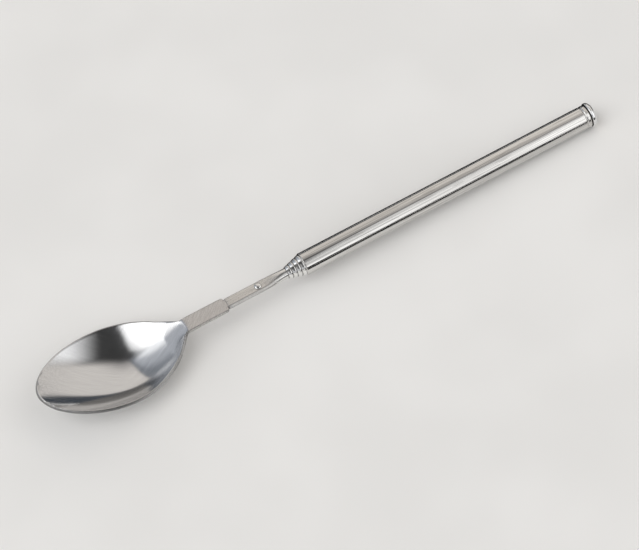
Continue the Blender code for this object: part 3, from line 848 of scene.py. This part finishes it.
def handle_outline():
    """Closed outline of the handle tube."""
    inner = HANDLE_RADIUS - TUBE_WALL
    start = [(0, HANDLE_RADIUS - TUBE_STEP + MOUTH_GAP)]
    front = arc((MOUTH_ROUND, HANDLE_RADIUS - MOUTH_ROUND), (MOUTH_ROUND, MOUTH_ROUND), 180, 90, 6)
    centre = (HANDLE_LENGTH - LIP_LENGTH, HANDLE_RADIUS - LIP_DROP)
    lip = arc(centre, (LIP_LENGTH, LIP_DROP), 90, 0, 9)
    groove = crimp(HANDLE_LENGTH, inner)[::-1]
    inside = [(HANDLE_LENGTH, inner)] + groove + bore_outline(HANDLE_LENGTH, HANDLE_RADIUS)[1:]
    return steadied(start + front + crimp(HANDLE_LENGTH, HANDLE_RADIUS) + lip + inside)


handle_values = {"Sides": HANDLE_SIDES, "Radius change": 0.0, "Shift": 0.0, "Finish": TUBE_STEEL}
handle_mesh = run_tree(TURNING, "handle_tube_drawn", handle_outline(), handle_values)
place_piece(handle_mesh, "handle", "handle_tube")

# %% [markdown]
# ### The four sliding tubes
# Closed, each shows only its rolled mouth, a bright ring 1.5 mm long that swells to a low crest
# and drops behind it. They share one outline, written for the first of them, and the tree makes
# each of the others one tube size smaller and one ring further out. The rear has a stop bead, a
# seat for the shims and a lip.

# %% Sliding tubes
STAGE_TRAVEL = 85.0 * MM
MOUTH_EDGE = 0.14 * MM
BEAD_HEIGHT = 0.12 * MM
BEAD_CREST = 1.15 * MM
BEAD_END = 1.42 * MM
BEAD_STEPS = 14
BEAD_POWER = 1.15
STOP_HEIGHT = 0.1 * MM
STOP_BEAD = 0.5 * MM
REAR_LIP = 0.5 * MM
SHIM_SEAT = 4.7 * MM
STOP_GAP = 0.1 * MM
RING_SIDES = 96
NESTED = STAGE_TRAVEL + REAR_LIP + SHIM_SEAT + STOP_BEAD + MOUTH_LAND + MOUTH_RAMP + STOP_GAP


def rear_end(length, outside):
    """Outside of a sliding tube's rear: stop bead, seat for the shims, lip."""
    seat_end = length - REAR_LIP
    seat_start = seat_end - SHIM_SEAT
    raised = outside + STOP_HEIGHT
    return [
        (seat_start - STOP_BEAD, outside),
        (seat_start - STOP_BEAD + STOP_HEIGHT, raised),
        (seat_start, raised),
        (seat_start, outside),
        (seat_end, outside),
        (seat_end, raised),
        (length, raised),
    ]


def sliding_outline(outside):
    """Closed outline of a sliding tube: rolled mouth, bead, plain length, rear end."""
    length = NESTED + RING_PITCH
    mouth = outside - TUBE_STEP + MOUTH_GAP
    rim = mouth + MOUTH_EDGE
    crest = outside + BEAD_HEIGHT
    front = arc((MOUTH_EDGE, mouth), (MOUTH_EDGE, MOUTH_EDGE), 180, 90, 6)
    rise = []
    for step in range(1, BEAD_STEPS + 1):
        share = step / BEAD_STEPS
        reach = MOUTH_EDGE + (BEAD_CREST - MOUTH_EDGE) * share
        rise.append((reach, crest - (crest - rim) * (1 - share) ** BEAD_POWER))
    fall = arc((BEAD_CREST, outside), (BEAD_END - BEAD_CREST, BEAD_HEIGHT), 90, 0, 7)
    outer = front + rise + fall[1:] + rear_end(length, outside)
    return steadied(outer + bore_outline(length, outside))


for stage in range(1, STAGES):
    sizes = {
        "Sides": RING_SIDES,
        "Radius change": -TUBE_STEP * (stage - 1),
        "Shift": -RING_PITCH * stage,
        "Finish": RING_STEELS[stage],
    }
    outline = sliding_outline(HANDLE_RADIUS - TUBE_STEP)
    ring_mesh = run_tree(TURNING, f"sliding_tube_{stage}", outline, sizes)
    place_piece(ring_mesh, f"tube_{stage}", f"slide_tube_{stage}")

# %% [markdown]
# ### The cap
# A round button, a little wider than the tube, whose spigot the rolled groove grips. Its rim and
# dome are one soft curve in the photograph. The dark line where it meets the tube's lip is
# painted shade.

# %% Cap
CAP_RADIUS = 4.3 * MM
CAP_GAP = 0.3 * MM
CAP_EDGE = 0.45 * MM
CAP_RIM = 0.75 * MM
CAP_DOME = 1.75 * MM
SPIGOT_LENGTH = 7.0 * MM
SPIGOT_GAP = 0.04 * MM
SPIGOT_RADIUS = HANDLE_RADIUS - TUBE_WALL - SPIGOT_GAP
SPIGOT_CHAMFER = 0.4 * MM


def cap_outline():
    """Outline of the cap, from the end of its spigot to the top of its dome."""
    body = [(-SPIGOT_LENGTH, 0), (-SPIGOT_LENGTH, SPIGOT_RADIUS - SPIGOT_CHAMFER)]
    body += [(SPIGOT_CHAMFER - SPIGOT_LENGTH, SPIGOT_RADIUS)]
    neck = [(CAP_GAP, SPIGOT_RADIUS)]
    edge = arc((CAP_GAP + CAP_EDGE, CAP_RADIUS - CAP_EDGE), (CAP_EDGE, CAP_EDGE), 180, 90, 6)
    dome = arc((CAP_GAP + CAP_RIM, 0), (CAP_DOME, CAP_RADIUS), 90, 0, 28)
    points = steadied(body + crimp(0, SPIGOT_RADIUS) + neck + edge + dome)
    return [(x + HANDLE_LENGTH, radius) for x, radius in points]


cap_values = dict(handle_values, Finish=CHROME)
cap_mesh = run_tree(TURNING, "end_cap_chromed", cap_outline(), cap_values)
place_piece(cap_mesh, "handle", "end_cap")

# %% [markdown]
# ### The tip tube
# The smallest tube is round inside the rod and pressed flat at its front, where it grips the
# tang of the spoon head. A second tree turns its outline and then presses it: near the front a
# point moves from its place on a circle to its place on a flattened ring, by an amount that
# depends on how far along the tube it is.

# %% Pressing tree
TIP_RADIUS = HANDLE_RADIUS - STAGES * TUBE_STEP
FLAT_WIDTH = 4.7 * MM
FLAT_LENGTH = 13.1 * MM
TAPER_LENGTH = 8.4 * MM
TANG_SHEET = 1.1 * MM
TANG_GAP = 0.13 * MM
FLAT_HEIGHT = TANG_SHEET + 2 * TANG_GAP + 2 * TUBE_WALL
# The flat ends at a corner, where the sine of the angle has this value. Beyond it the wall slopes
# down over a run of this many half heights, along a curve with these two powers.
FLAT_SPREAD = 0.5
FLANK_RUN = 0.84
FLANK_POWERS = (1.3, 0.9)


def pressing_tree():
    """Tree that turns an outline about X and presses its front flat."""
    lengths = ["Radius", "Flat width", "Flat height", "Flat length", "Taper length", "Shift"]
    bench, wires = new_tree("press_tube", ["Sides"], lengths)
    grid, point, angle = outline_grid(bench, wires)
    x, radius, unused = bench.parts(point)
    sine = bench.maths("SINE", angle)
    cosine = bench.maths("COSINE", angle)
    pressed = bench.smooth(x, wires["Flat length"] + wires["Taper length"], wires["Flat length"])
    half_height = wires["Flat height"] / 2 - (wires["Radius"] - radius)
    # Pressed flat, a wall is level as far as its corner, and then slopes down to the side.
    reach = abs(sine)
    level = bench.maths("MINIMUM", reach / FLAT_SPREAD, 1.0)
    slope = bench.maths("MAXIMUM", (reach - FLAT_SPREAD) / (1 - FLAT_SPREAD), 0.0)
    corner = wires["Flat width"] / 2 - wires["Flat height"] * (FLANK_RUN / 2)
    flat_y = bench.maths("SIGN", sine) * (level * corner + slope * half_height * FLANK_RUN)
    fall = bench.maths("MAXIMUM", 1 - slope ** FLANK_POWERS[0], 0.0) ** FLANK_POWERS[1]
    flat_z = bench.maths("SIGN", cosine) * half_height * fall
    y = choose(pressed, sine * radius, flat_y)
    z = choose(pressed, cosine * radius, flat_z)
    place = bench.vector(x + wires["Shift"], y, z)
    shape = bench.add("GeometryNodeSetPosition", None, {"Geometry": grid, "Position": place})
    close_tree(bench, shape, wires["Finish"])
    return bench


# %% Tip tube
TAPER_STEPS = 26
FLAT_STEPS = 8
TIP_EDGE = 0.07 * MM


def tip_outline():
    """Closed outline of the tip tube before it is pressed."""
    length = NESTED + TIP_REACH
    inner = TIP_RADIUS - TUBE_WALL
    rim = arc((TIP_EDGE, TIP_RADIUS - TIP_EDGE), (TIP_EDGE, TIP_EDGE), 180, 90, 4)
    stations = [FLAT_LENGTH * step / FLAT_STEPS for step in range(1, FLAT_STEPS)]
    stations += [FLAT_LENGTH + TAPER_LENGTH * step / TAPER_STEPS for step in range(TAPER_STEPS + 1)]
    outer = rim + [(x, TIP_RADIUS) for x in stations] + rear_end(length, TIP_RADIUS)
    inside = [(length, inner)] + [(x, inner) for x in reversed(stations)] + [(0, inner)]
    return outer + inside + [rim[0]]


PRESSING = pressing_tree()
tip_values = {
    "Sides": RING_SIDES,
    "Radius": TIP_RADIUS,
    "Flat width": FLAT_WIDTH,
    "Flat height": FLAT_HEIGHT,
    "Flat length": FLAT_LENGTH,
    "Taper length": TAPER_LENGTH,
    "Shift": TIP_FRONT,
    "Finish": PRESSED_STEEL,
}
tip_mesh = run_tree(PRESSING, "tip_tube_pressed", tip_outline(), tip_values)
place_piece(tip_mesh, "tip", "tip_tube")

# %% [markdown]
# ### The rivet
# It goes through both flattened walls and the tang: a low round head above and a flatter tail
# below. The turning tree makes it about X, and it is then stood upright.

# %% Rivet
RIVET_SETBACK = 1.3 * MM
RIVET_SHANK = 0.6 * MM
RIVET_HEAD = 1.3 * MM
RIVET_HEAD_HEIGHT = 0.62 * MM
RIVET_TAIL_HEIGHT = 0.45 * MM
RIVET_GAP = 0.05 * MM
RIVET_SIDES = 48


def rivet_outline():
    """Outline from the tail's middle, along the shank, to the head's top."""
    face = FLAT_HEIGHT / 2 + RIVET_GAP
    tail = arc((-face, 0), (RIVET_TAIL_HEIGHT, RIVET_HEAD), 180, 90, 10)
    head = arc((face, 0), (RIVET_HEAD_HEIGHT, RIVET_HEAD), 90, 0, 12)
    return tail + [(-face, RIVET_SHANK), (face, RIVET_SHANK)] + head


rivet_values = dict(handle_values, Sides=RIVET_SIDES, Finish=RIVET_STEEL)
rivet_mesh = run_tree(TURNING, "tip_rivet_set", rivet_outline(), rivet_values)
rivet_place = Vector((TIP_FRONT + FLAT_LENGTH - RIVET_SETBACK, 0, 0))
stand = Matrix.Translation(rivet_place) @ Matrix.Rotation(-math.pi / 2, 4, "Y")
place_piece(rivet_mesh, "tip", "tip_rivet", stand)

# %% [markdown]
# ### The spoon head
# One stamping: a pointed oval bowl, a flat neck plate and a thinner tang inside the tube. Its
# shape follows rules for the outline, for the height of the rim and for the depth of the hollow,
# so a tree bends one grid into the middle of the sheet. Ordinary modifiers then give the sheet
# its thickness and round its sheared edge.

# %% Sizes of the spoon head
SHEET = 1.2 * MM
BOWL_LENGTH = 54.0 * MM
BOWL_WIDTH = 32.8 * MM
BOWL_DEPTH = 7.3 * MM
WIDEST = 27.0 * MM
DEEPEST = 28.0 * MM
NECK_FILLET = 0.8 * MM
NECK_REACH = BOWL_LENGTH - WIDEST - NECK_FILLET
RIM_DIP = 2.5 * MM
RIM_TIP_RISE = 3.0 * MM
RIM_DIP_AT = 35.5 * MM
RIM_NECK_EASE = 8.0 * MM
PLATE_LENGTH = 15.0 * MM
PLATE_AT_BOWL = 5.8 * MM
PLATE_AT_SHOULDER = 5.7 * MM
SHOULDER_ROUND = 1.0 * MM
TANG_OVERLAP = 1.0 * MM
TANG_LENGTH = SHOULDER_GAP + FLAT_LENGTH + TANG_OVERLAP
BORE_HEIGHT = TANG_SHEET + 2 * TANG_GAP
CORNER_REACH = math.sqrt(BORE_HEIGHT**2 - TANG_SHEET**2) / 2
TANG_WIDTH = FLAT_WIDTH - FLAT_HEIGHT + 2 * (CORNER_REACH - TANG_GAP)
print(f"bowl {BOWL_LENGTH / MM:.1f} x {BOWL_WIDTH / MM:.1f} mm, tang {TANG_WIDTH / MM:.2f} mm wide")

# %% [markdown]
# In plan each half of the bowl is an ellipse raised to a power: one half would leave it an
# ellipse, and more makes that end more pointed. The neck's half runs into the plate with a
# fillet. The middle line of the hollow is a pair of cubic curves that meet at the deepest place
# and start at the tip and at the crease with a slope of their own. Across the bowl the floor is
# a little flatter than a parabola.

# %% Rules of the bowl, as nodes
TIP_POWER = 0.55
NECK_POWER = 0.79
FILLET_POWER = 2.2
RIM_POWER = 1.45
SIDE_POWER = 2.2
TIP_SLOPE = 1.5
NECK_SLOPE = 1.25


def half_width_wire(bench, from_tip):
    """Half the plan width of the bowl at a distance from its tip."""
    ahead = bench.maths("MAXIMUM", (WIDEST - from_tip) / WIDEST, 0.0)
    behind = bench.maths("MAXIMUM", (from_tip - WIDEST) / NECK_REACH, 0.0)
    behind = bench.maths("MINIMUM", behind, 1.0)
    front = (1 - ahead * ahead) ** TIP_POWER * (BOWL_WIDTH / 2)
    bowl = (1 - behind * behind) ** NECK_POWER * (BOWL_WIDTH / 2)
    plate = bench.smooth(behind, 0.0, 1.0) * (PLATE_AT_BOWL / 2)
    rear = (bowl**FILLET_POWER + plate**FILLET_POWER) ** (1 / FILLET_POWER)
    return choose(bench.maths("GREATER_THAN", from_tip, WIDEST), front, rear)


def rim_height_wire(bench, from_tip):
    """Height of the rim against the rod's axis."""
    ahead = bench.maths("MAXIMUM", (RIM_DIP_AT - from_tip) / RIM_DIP_AT, 0.0)
    rise = ahead**RIM_POWER * (RIM_DIP + RIM_TIP_RISE)
    return rise - bench.smooth(from_tip, BOWL_LENGTH, BOWL_LENGTH - RIM_NECK_EASE) * RIM_DIP


def hollow_wire(bench, from_tip):
    """Depth of the middle line, from 0 at tip and crease to 1 at the deepest place."""
    ahead = bench.maths("MAXIMUM", (DEEPEST - from_tip) / DEEPEST, 0.0)
    behind = bench.maths("MAXIMUM", (from_tip - DEEPEST) / (BOWL_LENGTH - DEEPEST), 0.0)
    front = ahead * ahead * (ahead * (2 - TIP_SLOPE) - (3 - TIP_SLOPE))
    rear = behind * behind * (behind * (2 - NECK_SLOPE) - (3 - NECK_SLOPE))
    return 1 + front + rear


def tip_station_wire(bench, half):
    """Distance from the tip at which the outline reaches a half width."""
    share = bench.maths("SQRT", 1 - (half / (BOWL_WIDTH / 2)) ** (1 / TIP_POWER))
    return (1 - share) * WIDEST


# %% [markdown]
# The grid has a row for each station along the sheet and a column for each place across it. The
# first bowl row bends round the tip and the last plate row follows the rounded shoulders, so
# that the outline is smooth at both. Behind the shoulders only the columns of the tang are kept.

# %% Sheet tree
BOWL_ROWS = 72
PLATE_ROWS = 16
TANG_ROWS = 6
HALF_COLUMNS = 22
TANG_COLUMNS = 12
TIP_ROW_SHARE = 0.35
LEAD_SHARE = 0.55
SHOULDER_POWER = 6
LEAST = 0.01 * MM


def sheet_tree():
    """Tree that bends a grid into the middle of the stamping. Zero is the crease."""
    bench, wires = new_tree("stamp_sheet", ["Bowl rows", "Plate rows", "Tang rows"])
    rows = wires["Bowl rows"] + wires["Plate rows"] + wires["Tang rows"]
    columns = 2 * HALF_COLUMNS + 1
    grid = bench.add("GeometryNodeMeshGrid", None, {"Vertices X": rows + 1, "Vertices Y": columns})
    index = bench.add("GeometryNodeInputIndex")
    row = bench.maths("FLOOR", (index + 0.5) / columns)
    side = index - row * columns - HALF_COLUMNS
    reach = abs(side)
    tang_share = TANG_WIDTH / PLATE_AT_SHOULDER
    inner = reach * (tang_share / TANG_COLUMNS)
    outer = (reach - TANG_COLUMNS) * ((1 - tang_share) / (HALF_COLUMNS - TANG_COLUMNS)) + tang_share
    column = choose(bench.maths("GREATER_THAN", reach, TANG_COLUMNS + 0.5), inner, outer)
    sign = bench.maths("SIGN", side)
    # Bowl rows: the first one bends round the tip and later ones straighten.
    share = bench.maths("MINIMUM", row / wires["Bowl rows"], 1.0)
    first_half = TIP_ROW_SHARE * BOWL_WIDTH / 2
    first = WIDEST * (1 - math.sqrt(1 - TIP_ROW_SHARE ** (1 / TIP_POWER)))
    advance = share * LEAD_SHARE + bench.smooth(share, 0.0, 1.0) * (1 - LEAD_SHARE)
    station = advance * (BOWL_LENGTH - first) + first
    ahead = bench.maths("MAXIMUM", 1 - (station - first) / (WIDEST - first), 0.0)
    bend = first - tip_station_wire(bench, column * first_half)
    bowl_y = column * half_width_wire(bench, station)
    from_tip = bench.maths("MAXIMUM", station - bend * ahead * ahead, 0.0)
    half = bench.maths("MAXIMUM", half_width_wire(bench, from_tip), LEAST)
    crossing = bench.maths("MINIMUM", bowl_y / half, 1.0)
    hollow = hollow_wire(bench, from_tip) * (1 - crossing**SIDE_POWER)
    bowl_z = rim_height_wire(bench, from_tip) - hollow * BOWL_DEPTH
    # Plate rows: straight edges, and a last row that follows the rounded shoulders.
    plate_row = bench.maths("MAXIMUM", row - wires["Bowl rows"], 0.0)
    plate_share = bench.maths("MINIMUM", plate_row / wires["Plate rows"], 1.0)
    edge = choose(plate_share, PLATE_AT_BOWL / 2, PLATE_AT_SHOULDER / 2)
    past = bench.maths("MAXIMUM", column * edge - (edge - SHOULDER_ROUND), 0.0)
    inside = bench.maths("MAXIMUM", SHOULDER_ROUND**2 - past * past, 0.0)
    setback = (SHOULDER_ROUND - bench.maths("SQRT", inside)) * plate_share**SHOULDER_POWER
    tang_row = bench.maths("MAXIMUM", plate_row - wires["Plate rows"], 0.0)
    plate_x = plate_share * PLATE_LENGTH - setback + tang_row / wires["Tang rows"] * TANG_LENGTH
    on_plate = bench.maths("GREATER_THAN", plate_row, 0.5)
    x = choose(on_plate, from_tip - BOWL_LENGTH, plate_x)
    y = choose(on_plate, bowl_y, column * edge) * sign
    place = bench.vector(x, y, bowl_z * (1 - on_plate))
    shape = bench.add("GeometryNodeSetPosition", None, {"Geometry": grid, "Position": place})
    here_x, here_y, here_z = bench.parts(bench.add("GeometryNodeInputPosition"))
    beyond = bench.maths("GREATER_THAN", here_x, PLATE_LENGTH + LEAST)
    outside = bench.maths("GREATER_THAN", abs(here_y), TANG_WIDTH / 2)
    sockets = {"Geometry": shape, "Selection": beyond * outside}
    shape = bench.add("GeometryNodeDeleteGeometry", {"domain": "FACE"}, sockets)
    close_tree(bench, shape, wires["Finish"])
    return bench


SHEETING = sheet_tree()
print("sheet tree has", len(SHEETING.tree.nodes), "nodes")

# %% [markdown]
# The sheet gets its thickness from a Solidify modifier and its rounded edge from a Bevel. The
# faces of the sheared edge are then found with the help of the thin sheet: they lie close to its
# border and look away from its normal there. They get the edge's finish as a second material.

# %% Spoon head
EDGE_ROUND = 0.27 * MM
EDGE_SEGMENTS = 4
EDGE_CORNER = math.radians(60)
EDGE_REACH = 0.68 * MM
EDGE_TURN = 0.55


def thicken(maker):
    """Give the sheet its thickness and round its sheared edge."""
    solid = maker.modifiers.new("sheet", "SOLIDIFY")
    solid.thickness = SHEET
    solid.offset = 0
    soften = maker.modifiers.new("edge_round", "BEVEL")
    soften.width = EDGE_ROUND
    soften.segments = EDGE_SEGMENTS
    soften.limit_method = "ANGLE"
    soften.angle_limit = EDGE_CORNER
    soften.use_clamp_overlap = False


def finish_edge(mesh, sheet, material):
    """Give a second material to the faces across the border of the thin sheet."""
    shape = bmesh.new()
    shape.from_mesh(sheet)
    border = [vertex for vertex in shape.verts if vertex.is_boundary]
    tree = KDTree(len(border))
    for index, vertex in enumerate(border):
        tree.insert(vertex.co, index)
    tree.balance()
    mesh.materials.append(material)
    found = []
    for face in mesh.polygons:
        place, index, reach = tree.find(face.center)
        if reach < EDGE_REACH and abs(face.normal.dot(border[index].normal)) < EDGE_TURN:
            found.append(face)
    for face in found:
        face.material_index = 1
    shape.free()
    print(f"{len(found)} of {len(mesh.polygons)} faces are sheared edge")


head_values = {
    "Bowl rows": BOWL_ROWS,
    "Plate rows": PLATE_ROWS,
    "Tang rows": TANG_ROWS,
    "Finish": HEAD_STEEL,
}
# The sheet tree makes its own grid, so the outline that run_tree asks for is only a stand-in.
seed_line = [(0, 0), (MM, 0)]
head_sheet = run_tree(SHEETING, "spoon_head_sheet", seed_line, head_values)
head_mesh = run_tree(SHEETING, "spoon_head_stamped", seed_line, head_values, thicken)
finish_edge(head_mesh, head_sheet, EDGE_STEEL)
bpy.data.meshes.remove(head_sheet)
head_place = Matrix.Translation((TIP_FRONT - SHOULDER_GAP - PLATE_LENGTH, 0, 0))
place_piece(head_mesh, "tip", "spoon_head", head_place)

# %% [markdown]
# ### The shims
# The brass shims sit between the tubes. Their CAD shape is already right, so the nodes stay and
# only get the brass finish.

# %% Shims
for node_name, node in sorted(frame["nodes"].items()):
    if node_name.startswith("shim_"):
        for slot in node.material_slots:
            slot.material = BRASS
print("shims have", BRASS.name)
